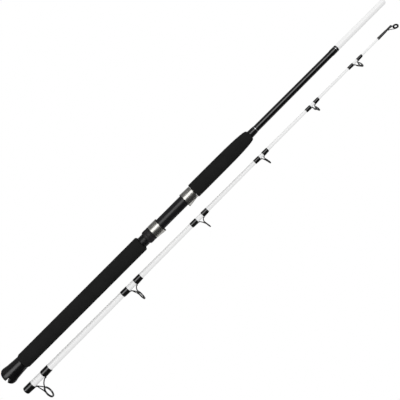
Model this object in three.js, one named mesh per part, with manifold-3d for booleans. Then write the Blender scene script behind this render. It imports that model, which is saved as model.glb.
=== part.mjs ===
// Two-piece boat rod with its sections lying side by side, in millimetres.
// +X runs towards the tip, +Z is up and the guides stand out towards -Y.
// The origin is on the ground, at the middle of the whole object.
import * as THREE from 'three';
import { mergeVertices } from 'three/addons/utils/BufferGeometryUtils.js';
import Module from 'manifold-3d';

const wasm = await Module();
wasm.setup();

// ---------------------------------------------------------------- driving dimensions

const SECTION_SPACING = 48.4;
const GIMBAL_RADIUS = 19.2;
const SMALL_GAP = 0.15;
const PIECE_GAP = 0.3;

// Places of the pieces along the butt section.
const BUTT = {
  gimbalRear: -560.8,
  gimbalFront: -511.7,
  gripFront: -157.4,
  nutRear: -143.6,
  nutFront: -127.0,
  hoodRear: -125.3,
  hoodFront: -103.1,
  fixedHoodRear: -28.4,
  fixedHoodFront: -2.8,
  foregripFront: 166.1,
  checkFront: 181.8,
  ferruleRear: 410,
  ferruleFront: 426.9,
  spigotEnd: 567.8,
};

const GRIP_RADIUS = 17.5;
const BARREL_RADIUS = 12.9;
const BARREL_BORE = 10.4;
const FOOT_BED = 12.4;
const FOOT_BED_ENDS = [-100.9, -30.3];
const THREAD_CLEARANCE = 0.3;
const NUT_RADIUS = 15.4;
const HOOD_WALL = 0.8;
const LINER_WALL = 0.65;
const POCKET_FLAT = 27;
const POCKET_EDGE = 36;
const GIMBAL_SLOT = { width: 6.4, depth: 10, turn: 20 };

// Outer radius of the two glass blanks, as [x, radius].
const BUTT_BLANK = [[-546, 9.4], [190, 7.4], [300, 6.95], [380, 6.75], [427, 6.65], [562, 6.4]];
const BUTT_WALL = 1.4;
const TIP_BLANK = [
  [-554.7, 7.8], [-493, 7.6], [-312, 6.9], [-165, 6.0], [-32, 5.2], [140, 4.25],
  [294, 3.4], [421, 2.8], [517, 2.2], [531, 1.6], [542.5, 1.55],
];
const SOCKET = { depth: 146, mouth: 6.75, end: 6.5 };

// Each guide: its ring's place, distance from the blank's axis, radius and lean in degrees
// towards the tip; how far the front heel reaches out of its winding; at what angle round the
// ring the rear braces hold it and how far they bow outwards; then the two windings and the
// radius of the frame's wire.
const GUIDES = [
  { ring: -521.5, stand: 36.0, radius: 14.0, lean: 0, heel: 4.6, hold: 58, bow: -1 },
  { ring: -236.7, stand: 28.7, radius: 12.0, lean: 0, heel: 2.8, hold: 62, bow: -1 },
  { ring: -30.8, stand: 22.1, radius: 9.1, lean: 8, heel: 2.2, hold: 72, bow: -1 },
  { ring: 155.6, stand: 18.3, radius: 7.7, lean: 8, heel: 1.4, hold: 82, bow: -1 },
  { ring: 308.8, stand: 13.4, radius: 7.0, lean: 6, heel: 1.2, hold: 107, bow: 1.5 },
  { ring: 440.0, stand: 12.4, radius: 7.0, lean: 8, heel: 1.2, hold: 126, bow: 0.3 },
];
const GUIDE_WIRES = [1.3, 1.2, 1.1, 1.0, 0.95, 0.9];
const REAR_WINDINGS = [
  [-554.4, -532.9], [-264.7, -246.9], [-57.6, -40.6], [132.8, 147.7], [287.2, 301.4], [414.4, 428.8],
];
const FRONT_WINDINGS = [
  [-503.8, -483.0], [-226.9, -208.3], [-24.7, -9.0], [157.6, 172.3], [311.7, 325.5], [440.6, 455.5],
];
GUIDES.forEach((guide, index) => {
  guide.wire = GUIDE_WIRES[index];
  guide.rear = REAR_WINDINGS[index];
  guide.front = FRONT_WINDINGS[index];
});
const RING_BAND = 0.11;
const RING_INSERT = 0.13;
const THINNEST_INSERT = 1.5;
const BAND_HALF_WIDTH = 1.1;
const WINDING = 0.6;

const TIP_TOP = {
  winding: [503.6, 530.7],
  tubeEnd: 545,
  tubeRadius: 2.3,
  ring: 547.3,
  stand: 9.6,
  radius: 6.3,
  insert: 3.0,
  turn: -40,
  lean: 46,
};

// Both sections are drawn about a zero a little behind the middle of the laid-out length.
const MIDDLE_X = (BUTT.gimbalRear + BUTT.spigotEnd) / 2;
const BUTT_Y = (SECTION_SPACING + GUIDES[0].stand + GUIDES[0].radius - GIMBAL_RADIUS) / 2;
const TIP_Y = BUTT_Y - SECTION_SPACING;
const BUTT_Z = GIMBAL_RADIUS;
const TIP_Z = GUIDES[0].radius;

const FINISHES = {
  glossBlack: { color: 0x141415, roughness: 0.25, metalness: 0 },
  satinBlack: { color: 0x1d1d1f, roughness: 0.45, metalness: 0 },
  foam: { color: 0x232323, roughness: 0.95, metalness: 0 },
  nylon: { color: 0x161616, roughness: 0.6, metalness: 0 },
  arbor: { color: 0xb9a58a, roughness: 0.9, metalness: 0 },
  steel: { color: 0xd6d6cf, roughness: 0.18, metalness: 1 },
  silverTrim: { color: 0xc9c9cc, roughness: 0.3, metalness: 1 },
  blackLacquer: { color: 0x0f0f10, roughness: 0.15, metalness: 0 },
  whiteGlass: { color: 0xf0f0f0, roughness: 0.2, metalness: 0 },
  epoxyThread: { color: 0x0c0c0c, roughness: 0.12, metalness: 0 },
  blackFrame: { color: 0x17171a, roughness: 0.3, metalness: 0.4 },
  ceramic: { color: 0x3b3b40, roughness: 0.2, metalness: 0 },
};

// ---------------------------------------------------------------- geometry helpers

// Six times the volume that an indexed surface encloses, negative when it is inside out.
function signedVolume(position, index) {
  const [a, b, c] = [new THREE.Vector3(), new THREE.Vector3(), new THREE.Vector3()];
  let sum = 0;
  for (let i = 0; i < index.length; i += 3) {
    a.fromBufferAttribute(position, index[i]);
    b.fromBufferAttribute(position, index[i + 1]);
    c.fromBufferAttribute(position, index[i + 2]);
    sum += a.dot(b.cross(c));
  }
  return sum;
}

// The same surface with shared vertices, no slivers and its faces pointing out.
function closed(source) {
  const bare = source.clone();
  for (const name of Object.keys(bare.attributes)) {
    if (name !== 'position') bare.deleteAttribute(name);
  }
  const merged = mergeVertices(bare, 1e-4);
  const corners = [...merged.index.array];
  const kept = [];
  for (let i = 0; i < corners.length; i += 3) {
    const [a, b, c] = corners.slice(i, i + 3);
    if (a !== b && b !== c && c !== a) kept.push(a, b, c);
  }
  if (signedVolume(merged.attributes.position, kept) < 0) kept.reverse();
  merged.setIndex(kept);
  return merged;
}

function toManifold(source) {
  const surface = closed(source);
  return new wasm.Manifold(new wasm.Mesh({
    numProp: 3,
    vertProperties: new Float32Array(surface.attributes.position.array),
    triVerts: new Uint32Array(surface.index.array),
  }));
}

function fromManifold(shape) {
  const mesh = shape.getMesh();
  const surface = new THREE.BufferGeometry();
  surface.setAttribute('position', new THREE.BufferAttribute(mesh.vertProperties, 3));
  surface.setIndex(new THREE.BufferAttribute(mesh.triVerts, 1));
  return surface;
}

function joined(...sources) {
  return fromManifold(sources.map(toManifold).reduce((whole, piece) => whole.add(piece)));
}

function cut(source, ...tools) {
  const waste = tools.map(toManifold);
  return fromManifold(waste.reduce((whole, tool) => whole.subtract(tool), toManifold(source)));
}

// An outline of [x, radius] points turned about the X axis.
function turned(outline, sides = 24) {
  const points = outline.map(([x, radius]) => new THREE.Vector2(radius, x));
  return closed(new THREE.LatheGeometry(points, sides).rotateZ(-Math.PI / 2));
}

// A hollow turned piece: an outer and an inner line of [x, radius] points, both front to rear.
function sleeve(outer, inner, sides = 24) {
  return turned([...outer, ...[...inner].reverse(), outer[0]], sides);
}

function plainSleeve(rear, front, outerRadius, innerRadius) {
  return sleeve([[rear, outerRadius], [front, outerRadius]], [[rear, innerRadius], [front, innerRadius]]);
}

function radiusAt(stations, x) {
  const next = stations.findIndex(([place]) => place >= x);
  if (next === 0) return stations[0][1];
  if (next < 0) return stations[stations.length - 1][1];
  const [x0, r0] = stations[next - 1];
  const [x1, r1] = stations[next];
  return r0 + (r1 - r0) * (x - x0) / (x1 - x0);
}

// The stations of a blank between two places, with both places added, each grown by extra.
function blankLine(stations, rear, front, extra) {
  const inside = stations.map(([x]) => x).filter((x) => x > rear && x < front);
  return [rear, ...inside, front].map((x) => [x, radiusAt(stations, x) + extra]);
}

// 1 over the flat of the reel-foot pocket on the -Y side, 0 beyond its edge.
function pocketShape(angle) {
  const degrees = Math.abs(THREE.MathUtils.radToDeg(angle));
  return 1 - THREE.MathUtils.smoothstep(degrees, POCKET_FLAT, POCKET_EDGE);
}

// A surface through rings at stations along X. ring(station, angle) gives the radius at an
// angle measured from -Y. With an inner ring it is a hollow sleeve, otherwise it is solid.
function lofted(stations, outerRing, innerRing, sides = 28) {
  const vertices = [];
  const faces = [];
  const rings = stations.map((station) => ({ station, ring: outerRing }));
  if (innerRing) rings.push(...[...stations].reverse().map((station) => ({ station, ring: innerRing })));
  for (const { station, ring } of rings) {
    for (let side = 0; side < sides; side++) {
      let angle = 2 * Math.PI * side / sides;
      if (angle > Math.PI) angle -= 2 * Math.PI;
      const radius = ring(station, angle);
      vertices.push(station[0], -radius * Math.cos(angle), radius * Math.sin(angle));
    }
  }
  const bands = innerRing ? rings.length : rings.length - 1;
  for (let band = 0; band < bands; band++) {
    const next = (band + 1) % rings.length;
    for (let side = 0; side < sides; side++) {
      const other = (side + 1) % sides;
      const [a, b] = [band * sides + side, band * sides + other];
      const [c, d] = [next * sides + side, next * sides + other];
      // Both walls are split along the same diagonals, so nested shells keep their gap.
      if (band < stations.length) faces.push(a, b, c, b, d, c);
      else faces.push(a, b, d, a, d, c);
    }
  }
  if (!innerRing) {
    for (const [band, turn] of [[0, false], [rings.length - 1, true]]) {
      const centre = vertices.length / 3;
      vertices.push(rings[band].station[0], 0, 0);
      for (let side = 0; side < sides; side++) {
        const [a, b] = [band * sides + side, band * sides + (side + 1) % sides];
        faces.push(...(turn ? [centre, a, b] : [centre, b, a]));
      }
    }
  }
  const surface = new THREE.BufferGeometry();
  surface.setAttribute('position', new THREE.Float32BufferAttribute(vertices, 3));
  surface.setIndex(faces);
  return closed(surface);
}

// A hood or liner: stations are [x, round outer, pocket outer, round inner, pocket inner].
function hoodShell(stations) {
  const blend = (round, pocket) => (station, angle) => (
    station[round] + (station[pocket] - station[round]) * pocketShape(angle)
  );
  return lofted(stations, blend(1, 2), blend(3, 4));
}

// A wire of the given radius through the points.
function wire(points, radius, steps = 5) {
  const corners = 6;
  const section = new THREE.Shape();
  for (let corner = 0; corner < corners; corner++) {
    const angle = 2 * Math.PI * (corner + 0.5) / corners;
    const [x, y] = [radius * Math.cos(angle), radius * Math.sin(angle)];
    if (corner === 0) section.moveTo(x, y);
    else section.lineTo(x, y);
  }
  section.closePath();
  const path = new THREE.CatmullRomCurve3(points.map((point) => new THREE.Vector3(...point)));
  return new THREE.ExtrudeGeometry(section, { steps, bevelEnabled: false, extrudePath: path });
}

// A flat strip whose side outline is given as [x, distance towards -Y], centred on Z.
function strip(outline, width) {
  const side = new THREE.Shape(outline.map(([x, away]) => new THREE.Vector2(x, -away)));
  return new THREE.ExtrudeGeometry(side, { depth: width, bevelEnabled: false }).translate(0, 0, -width / 2);
}

// ---------------------------------------------------------------- assembly

const rod = new THREE.Group();
const buttSection = new THREE.Group();
const tipSection = new THREE.Group();
buttSection.position.set(-MIDDLE_X, BUTT_Y, BUTT_Z);
tipSection.position.set(-MIDDLE_X, TIP_Y, TIP_Z);
rod.add(buttSection, tipSection);

function addPiece(section, name, geometry, finish) {
  geometry.computeVertexNormals();
  const piece = new THREE.Mesh(geometry, new THREE.MeshStandardMaterial(FINISHES[finish]));
  piece.name = name;
  section.add(piece);
}

// ---------------------------------------------------------------- butt section

function gimbalCap() {
  const { gimbalRear: rear, gimbalFront: front } = BUTT;
  const socketFloor = -547;
  const socket = 9.7;
  const body = turned([
    [rear, 0], [rear, 16.4], [rear + 1.2, 17.8], [rear + 3.2, 18.7], [rear + 6, GIMBAL_RADIUS],
    [rear + 9, GIMBAL_RADIUS], [-546, 18.6], [-538, 17.4], [-527, 16.2], [front - 1, 15.8],
    [front, 15.3], [front, socket], [socketFloor, socket], [socketFloor, 0],
  ], 28);
  const reach = 2 * GIMBAL_RADIUS + 4;
  const { width, depth, turn } = GIMBAL_SLOT;
  const slotAt = (geometry) => geometry.rotateX(THREE.MathUtils.degToRad(turn)).translate(rear, 0, 0);
  const upright = slotAt(new THREE.BoxGeometry(2 * depth, width, reach));
  const level = slotAt(new THREE.BoxGeometry(2 * depth, reach, width));
  return cut(body, upright, level);
}

function rearGrip() {
  const rear = BUTT.gimbalFront + PIECE_GAP;
  const front = BUTT.gripFront;
  const chamfer = 1.2;
  const outer = [
    [rear, GRIP_RADIUS - chamfer], [rear + chamfer, GRIP_RADIUS],
    [front - chamfer, GRIP_RADIUS], [front, GRIP_RADIUS - chamfer],
  ];
  return sleeve(outer, blankLine(BUTT_BLANK, rear, front, PIECE_GAP));
}

function foregrip() {
  const rear = BUTT.fixedHoodFront + PIECE_GAP + SMALL_GAP;
  const outer = [
    [rear, 16.0], [rear + 1.2, 16.9], [60, 16.85], [108, 16.5], [128, 15.95], [142, 15.3],
    [152, 14.4], [160, 13.45], [164.4, 12.7], [BUTT.foregripFront, 11.2],
  ];
  return sleeve(outer, blankLine(BUTT_BLANK, rear, BUTT.foregripFront, PIECE_GAP));
}

// The reel seat's barrel has a shallow flat bed for the reel's foot on its -Y side.
function seatBarrel() {
  const rear = BUTT.gripFront + PIECE_GAP;
  const front = BUTT.fixedHoodFront;
  const tube = plainSleeve(rear, front, BARREL_RADIUS, BARREL_BORE);
  const [bedRear, bedFront] = FOOT_BED_ENDS;
  const waste = new THREE.BoxGeometry(bedFront - bedRear, 4, 2 * BARREL_RADIUS);
  return cut(tube, waste.translate((bedRear + bedFront) / 2, -FOOT_BED - 2, 0));
}

function arbor(rear, front) {
  const outer = [[rear, BARREL_BORE - PIECE_GAP], [front, BARREL_BORE - PIECE_GAP]];
  return sleeve(outer, blankLine(BUTT_BLANK, rear, front, PIECE_GAP), 24);
}

function lockNut() {
  const { nutRear: rear, nutFront: front } = BUTT;
  const chamfer = 1.5;
  const bore = BARREL_RADIUS + THREAD_CLEARANCE;
  const outer = [
    [rear, NUT_RADIUS - chamfer], [rear + chamfer, NUT_RADIUS], [front - 2.6, NUT_RADIUS],
    [front - 2.3, NUT_RADIUS - 0.5], [front - 1.5, NUT_RADIUS - 0.5], [front - 1.2, NUT_RADIUS],
    [front, NUT_RADIUS],
  ];
  return sleeve(outer, [[rear, bore], [front, bore]]);
}

const HOOD_BORE = BARREL_RADIUS + THREAD_CLEARANCE;
const POCKET_INSET = HOOD_WALL + SMALL_GAP;

// Movable hood, as [x, round outer radius, pocket outer radius].
const MOVABLE_HOOD = [
  [BUTT.hoodRear, 15.2, 15.2], [-124.5, 15.4, 15.5], [-110, 15.4, 17.0], [-104.2, 15.4, 17.5],
  [BUTT.hoodFront, 15.5, 17.6],
];

// Fixed hood, from its mouth to the foregrip.
const FIXED_HOOD = [
  [BUTT.fixedHoodRear, 15.5, 17.8], [-26.8, 15.0, 17.6], [-14, 14.65, 16.0],
  [-5, 14.5, 14.7], [BUTT.fixedHoodFront, 14.3, 14.3],
];

function steelHood(stations) {
  const wall = HOOD_WALL;
  return hoodShell(stations.map(([x, round, pocket]) => [x, round, pocket, round - wall, pocket - wall]));
}

function hoodLiner(stations, lip, lipRound, lipPocket) {
  const inner = (pocket) => Math.max(HOOD_BORE, pocket - POCKET_INSET - LINER_WALL);
  const lining = stations.map(([x, round, pocket]) => (
    [x, round - POCKET_INSET, pocket - POCKET_INSET, HOOD_BORE, inner(pocket)]
  ));
  const mouth = inner(lipPocket);
  const flange = lip.map((x) => [x, lipRound, lipPocket, HOOD_BORE, mouth]);
  const step = 0.05;
  const neck = (x) => [x, lipRound - POCKET_INSET, lipPocket - POCKET_INSET, HOOD_BORE, mouth];
  const all = [...lining, ...flange, neck(lip[0] + (lip[0] < stations[0][0] ? step : -step))];
  return hoodShell(all.sort((one, other) => one[0] - other[0]));
}

function fixedHoodLiner() {
  const rear = BUTT.fixedHoodRear;
  const lining = FIXED_HOOD.filter(([x]) => x < -10);
  return hoodLiner(lining, [rear - PIECE_GAP, rear - PIECE_GAP - 1.1], 15.5, 17.9);
}

function movableHoodLiner() {
  const front = BUTT.hoodFront;
  return hoodLiner(MOVABLE_HOOD.slice(1), [front + PIECE_GAP, front + PIECE_GAP + 1.4], 15.6, 17.6);
}

function windingCheck() {
  const rear = BUTT.foregripFront + PIECE_GAP;
  const front = BUTT.checkFront;
  const outer = [[rear, 8.6], [rear + 2, 8.7], [front - 5, 8.3], [front - 1, 8.1], [front, 7.9]];
  return sleeve(outer, blankLine(BUTT_BLANK, rear, front, SMALL_GAP), 24);
}

// The butt blank is open inside the gimbal and ends in the rounded nose of the spigot.
function buttBlank() {
  const end = BUTT.spigotEnd;
  const wallEnd = end - 6;
  const outer = [...BUTT_BLANK, [end - 2, 6.2], [end - 0.6, 5.6], [end, 4.4], [end, 0]];
  const bore = BUTT_BLANK.slice(0, -1).map(([x, radius]) => [x, radius - BUTT_WALL]);
  return turned([[wallEnd, 0], [wallEnd, 4.9], ...bore.reverse(), ...outer], 20);
}

function windingBand(rear, front, height, stations = BUTT_BLANK) {
  const edge = Math.min(0.5, (front - rear) / 4);
  const at = (x) => radiusAt(stations, x);
  const outer = [
    [rear, at(rear) + height * 0.6], [rear + edge, at(rear) + height],
    [front - edge, at(front) + height], [front, at(front) + height * 0.6],
  ];
  return sleeve(outer, blankLine(stations, rear, front, SMALL_GAP), 20);
}

addPiece(buttSection, 'gimbal_cap', gimbalCap(), 'glossBlack');
addPiece(buttSection, 'rear_grip', rearGrip(), 'foam');
addPiece(buttSection, 'seat_barrel', seatBarrel(), 'satinBlack');
addPiece(buttSection, 'seat_arbor_rear', arbor(-150, -130), 'arbor');
addPiece(buttSection, 'seat_arbor_middle', arbor(-92, -72), 'arbor');
addPiece(buttSection, 'seat_arbor_front', arbor(-32, -12), 'arbor');
addPiece(buttSection, 'lock_nut', lockNut(), 'satinBlack');
addPiece(buttSection, 'slip_washer', plainSleeve(
  BUTT.nutFront + PIECE_GAP, BUTT.hoodRear - PIECE_GAP, NUT_RADIUS - 0.3, HOOD_BORE,
), 'nylon');
addPiece(buttSection, 'movable_hood', steelHood(MOVABLE_HOOD), 'steel');
addPiece(buttSection, 'movable_hood_liner', movableHoodLiner(), 'nylon');
addPiece(buttSection, 'fixed_hood', steelHood(FIXED_HOOD), 'steel');
addPiece(buttSection, 'fixed_hood_liner', fixedHoodLiner(), 'nylon');
addPiece(buttSection, 'foregrip', foregrip(), 'foam');
addPiece(buttSection, 'winding_check', windingCheck(), 'satinBlack');
addPiece(buttSection, 'fore_trim_ring', windingBand(182.1, 183.9, 0.6), 'silverTrim');
addPiece(buttSection, 'butt_blank', buttBlank(), 'blackLacquer');
addPiece(buttSection, 'ferrule_winding', windingBand(BUTT.ferruleRear, 420.8, 0.55), 'epoxyThread');
addPiece(buttSection, 'ferrule_trim_ring', windingBand(421.1, 422.9, 0.6), 'silverTrim');
addPiece(buttSection, 'ferrule_end_winding', windingBand(423.2, BUTT.ferruleFront, 0.5), 'epoxyThread');

// ---------------------------------------------------------------- tip section

// The tip blank is open at its socket end and solid towards the tip.
function tipBlank() {
  const mouth = TIP_BLANK[0][0];
  const socketEnd = mouth + SOCKET.depth;
  const bore = [[mouth, SOCKET.mouth], [socketEnd, SOCKET.end], [socketEnd + 2, 5.4], [150, 2.4], [300, 0]];
  return turned([...bore.reverse(), ...TIP_BLANK, [TIP_BLANK.at(-1)[0], 0]], 20);
}

// How far a guide's foot reaches, how wide it is and how thick it is at both ends.
function footOf(guide, [rear, front]) {
  const towardsRing = rear < guide.ring ? 1 : -1;
  const [far, near] = towardsRing > 0 ? [rear, front] : [front, rear];
  const seat = radiusAt(TIP_BLANK, rear) + SMALL_GAP;
  return {
    tip: far + 2.5 * towardsRing,
    heel: near + 1.0 * towardsRing,
    near,
    towardsRing,
    seat,
    width: 2.4 * guide.wire,
    thin: 0.4 * guide.wire,
    thick: 1.1 * guide.wire,
  };
}

function footStrip(foot, grow) {
  const { tip, heel, seat, thin, thick, towardsRing } = foot;
  const floor = grow ? seat - 1 : seat;
  const tipEnd = tip - grow * towardsRing;
  const heelEnd = heel + (grow ? 2 : 0) * towardsRing;
  const outline = [
    [tipEnd, floor], [heelEnd, floor], [heelEnd, seat + thick + grow], [tipEnd, seat + thin + grow],
  ];
  return strip(outline, foot.width + 2 * grow);
}

// A thread winding over a guide's foot: it swells on the -Y side towards the ring.
function footWinding(guide, span) {
  const [rear, front] = span;
  const foot = footOf(guide, span);
  const edge = 0.7;
  const places = [rear, rear + edge, front - edge, front];
  const swell = (x) => {
    const reach = (x - foot.tip) / (foot.near - foot.tip);
    return (foot.thin + (foot.thick - foot.thin) * THREE.MathUtils.clamp(reach, -0.6, 1)) * 0.95;
  };
  const stations = places.map((x, at) => {
    const onEdge = at === 0 || at === places.length - 1;
    return [x, radiusAt(TIP_BLANK, x) + WINDING * (onEdge ? 0.65 : 1), Math.max(0, swell(x))];
  });
  const footAngle = Math.atan2(foot.width / 2, foot.seat);
  const over = (angle) => 1 - THREE.MathUtils.smoothstep(Math.abs(angle), footAngle * 1.15, footAngle * 3.6);
  const body = lofted(stations, (station, angle) => station[1] + (station[2] + 0.25) * over(angle), null, 16);
  const bore = turned([
    [rear - 1, 0], [rear - 1, radiusAt(TIP_BLANK, rear) + 0.1], [front + 1, radiusAt(TIP_BLANK, front) + 0.1],
    [front + 1, 0],
  ], 20);
  return cut(body, bore, footStrip(foot, 0.12));
}

// The ring's band, turned about X through its own centre.
function ringBand(guide) {
  const outer = guide.radius;
  const inner = outer * (1 - RING_BAND);
  const half = BAND_HALF_WIDTH * guide.wire;
  return turned([[-half, inner], [-half, outer], [half, outer], [half, inner], [-half, inner]], 20);
}

// What the ring's insert needs clear of wires, turned about X through the ring's centre.
function insertRoom(guide) {
  const reach = guide.radius * (1 - RING_BAND);
  const half = BAND_HALF_WIDTH * guide.wire + 0.2 + SMALL_GAP;
  return turned([[-half, 0], [-half, reach], [half, reach], [half, 0]], 20);
}

function ringInsert(guide) {
  const outer = guide.radius * (1 - RING_BAND) - SMALL_GAP;
  const inner = outer - (guide.insert ?? Math.max(THINNEST_INSERT, guide.radius * RING_INSERT));
  const half = BAND_HALF_WIDTH * guide.wire + 0.2;
  const slope = 0.5;
  return turned([
    [-half, outer], [-half, inner + slope], [0, inner], [half, inner + slope], [half, outer], [-half, outer],
  ], 20);
}

// Moves a piece made about its ring's centre to the ring's place, leaning towards the tip.
function placeRing(geometry, guide) {
  return geometry.rotateZ(THREE.MathUtils.degToRad(guide.lean)).translate(guide.ring, -guide.stand, 0);
}

// A double-foot frame: one post from the front foot to the foot of the ring, and two braces
// from the rear foot to the ring's sides.
function guideFrame(guide) {
  const rearFoot = footOf(guide, guide.rear);
  const frontFoot = footOf(guide, guide.front);
  const { ring, stand, radius, wire: thick } = guide;
  const bandMiddle = radius * (1 - RING_BAND / 2);
  const lean = THREE.MathUtils.degToRad(guide.lean);
  const onRing = (reach) => [ring - reach * Math.sin(lean), -stand + reach * Math.cos(lean)];
  const [ringFootX, ringFootY] = onRing(bandMiddle);
  const ringFoot = -ringFootY;
  const postSeat = frontFoot.seat + thick;
  const rise = ringFoot - postSeat;
  const postStart = frontFoot.heel + 0.7;
  const postBend = frontFoot.heel - guide.heel;
  const post = wire([
    [postStart, -postSeat, 0],
    [postBend, -postSeat - 0.08 * rise, 0],
    [ringFootX + 0.4 * (postBend - ringFootX), -postSeat - 0.5 * rise, 0],
    [ringFootX + 0.2, ringFootY, 0],
  ], thick);
  const braceRadius = 0.85 * thick;
  const braceSeat = rearFoot.seat + braceRadius;
  const braceStart = rearFoot.heel - 0.7;
  const joint = THREE.MathUtils.degToRad(guide.hold);
  const bow = guide.bow * Math.SQRT1_2;
  const side = [...onRing(bandMiddle * Math.cos(joint)), bandMiddle * Math.sin(joint)];
  const braces = [-1, 1].map((hand) => wire([
    [braceStart, -braceSeat, 0],
    [braceStart + 1.8, -braceSeat - 0.3, hand * 0.4],
    [(braceStart + ring) / 2 - bow, (side[1] - braceSeat) / 2 - bow, hand * side[2] * 0.55],
    [side[0] - 0.2, side[1], hand * side[2]],
  ], braceRadius));
  const [band, room] = [ringBand(guide), insertRoom(guide)].map((piece) => placeRing(piece, guide));
  return cut(joined(band, post, ...braces, footStrip(rearFoot, 0), footStrip(frontFoot, 0)), room);
}

addPiece(tipSection, 'tip_blank', tipBlank(), 'whiteGlass');
GUIDES.forEach((guide, index) => {
  const name = `guide_${index + 1}`;
  addPiece(tipSection, `${name}_frame`, guideFrame(guide), 'blackFrame');
  addPiece(tipSection, `${name}_ring`, placeRing(ringInsert(guide), guide), 'ceramic');
  addPiece(tipSection, `${name}_rear_winding`, footWinding(guide, guide.rear), 'epoxyThread');
  addPiece(tipSection, `${name}_front_winding`, footWinding(guide, guide.front), 'epoxyThread');
});

// The tip-top's ring leans forward and is turned a little about the blank.
function placeTipRing(geometry) {
  const { ring, stand, lean, turn } = TIP_TOP;
  geometry.rotateZ(THREE.MathUtils.degToRad(lean)).translate(ring, -stand, 0);
  return geometry.rotateX(THREE.MathUtils.degToRad(turn));
}

const TIP_RING = { radius: TIP_TOP.radius, insert: TIP_TOP.insert, wire: 0.9 };

function tipTopFrame() {
  const { tubeEnd, tubeRadius, ring, stand, radius, turn } = TIP_TOP;
  const rear = TIP_TOP.winding[1] + PIECE_GAP;
  const bore = TIP_BLANK.at(-1)[1] + SMALL_GAP;
  const floor = TIP_BLANK.at(-1)[0] + PIECE_GAP;
  const tube = turned([
    [floor, 0], [floor, bore], [rear, bore + 0.05], [rear, tubeRadius], [tubeEnd - 0.8, tubeRadius],
    [tubeEnd, tubeRadius - 0.6], [tubeEnd, 0],
  ], 20);
  const bandMiddle = radius * (1 - RING_BAND / 2);
  const braces = [-1, 1].map((hand) => wire([
    [rear + 2.0, -tubeRadius - 0.3, hand * 0.6],
    [rear + 6.0, -tubeRadius - 1.6, hand * 2.4],
    [ring - 2.6, -stand + 1.2, hand * bandMiddle * 0.93],
    [ring, -stand, hand * bandMiddle],
  ], 0.75).rotateX(THREE.MathUtils.degToRad(turn)));
  const neck = wire([
    [tubeEnd - 1.3, -tubeRadius + 0.8, 0],
    [tubeEnd - 0.4, -tubeRadius - 0.6, 0],
    [ring - 3.4, -stand + bandMiddle - 1.4, 0],
  ], 0.8, 4).rotateX(THREE.MathUtils.degToRad(turn));
  const [band, room] = [ringBand(TIP_RING), insertRoom(TIP_RING)].map(placeTipRing);
  return cut(joined(tube, band, ...braces, neck), room);
}

const [tipWindingRear, tipWindingFront] = TIP_TOP.winding;
addPiece(tipSection, 'tip_top_frame', tipTopFrame(), 'blackFrame');
addPiece(tipSection, 'tip_top_ring', placeTipRing(ringInsert(TIP_RING)), 'ceramic');
const tipWinding = windingBand(tipWindingRear, tipWindingFront, 0.9, TIP_BLANK);
addPiece(tipSection, 'tip_top_winding', tipWinding, 'epoxyThread');

export default rod;
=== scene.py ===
"""Finished pieces of a two-piece boat rod, built around its engineering model.

Lengths in the tables below are in millimetres, in the frame of the engineering model: +X runs
towards the tip, +Z is up and the line guides stand out towards -Y.
"""

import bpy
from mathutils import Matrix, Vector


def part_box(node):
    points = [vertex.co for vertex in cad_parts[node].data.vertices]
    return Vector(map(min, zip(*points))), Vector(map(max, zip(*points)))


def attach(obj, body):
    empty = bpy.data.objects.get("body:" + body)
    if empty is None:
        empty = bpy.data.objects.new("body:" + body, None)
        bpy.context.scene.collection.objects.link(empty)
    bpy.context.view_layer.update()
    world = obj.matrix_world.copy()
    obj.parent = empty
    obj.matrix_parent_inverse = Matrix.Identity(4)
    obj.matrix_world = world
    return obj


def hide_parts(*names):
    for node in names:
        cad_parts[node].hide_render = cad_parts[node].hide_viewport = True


bl_info = {
    "name": "Two-Piece Boat Rod",
    "version": (1, 0, 0),
    "blender": (4, 5, 0),
    "location": "View3D > Sidebar > Rod",
    "description": "Builds the grips, reel seat, blanks, guides and studio of a two-piece rod",
    "category": "Add Mesh",
}

import math

import bmesh
import bpy
from bpy.props import FloatProperty, FloatVectorProperty, IntProperty, PointerProperty
from mathutils import Matrix, Vector

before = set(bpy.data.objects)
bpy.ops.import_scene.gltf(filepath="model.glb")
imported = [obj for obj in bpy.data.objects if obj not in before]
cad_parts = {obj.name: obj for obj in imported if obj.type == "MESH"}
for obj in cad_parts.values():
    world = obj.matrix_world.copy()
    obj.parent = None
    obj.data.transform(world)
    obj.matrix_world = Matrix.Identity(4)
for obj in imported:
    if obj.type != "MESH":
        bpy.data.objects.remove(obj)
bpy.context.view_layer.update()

MM = 0.001


def corners(node):
    """The lowest and highest corner of a node of the engineering model, in millimetres."""
    low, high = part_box(node)
    return low / MM, high / MM


def turned_size(node):
    """Where a turned node starts and ends along X, and its greatest radius."""
    low, high = corners(node)
    return low.x, high.x, (high.y - low.y) / 2


def axis_of(node):
    """The axis along X through a node's middle, as its place on Y and Z."""
    low, high = corners(node)
    return (low.y + high.y) / 2, (low.z + high.z) / 2


BUTT_AXIS = axis_of("rear_grip")
TIP_AXIS = axis_of("tip_blank")

# Outer radius of the two blanks at places along X.
BUTT_TAPER = (
    (-549.5, 9.4), (186.5, 7.4), (296.5, 6.95), (376.5, 6.75), (423.5, 6.65), (558.5, 6.4),
)
TIP_TAPER = (
    (-558.2, 7.8), (-496.5, 7.6), (-315.5, 6.9), (-168.5, 6.0), (-35.5, 5.2), (136.5, 4.25),
    (290.5, 3.4), (417.5, 2.8), (513.5, 2.2), (527.5, 1.6), (539, 1.55),
)
BLANK_WALL = 1.4
FIT = 0.15

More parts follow.
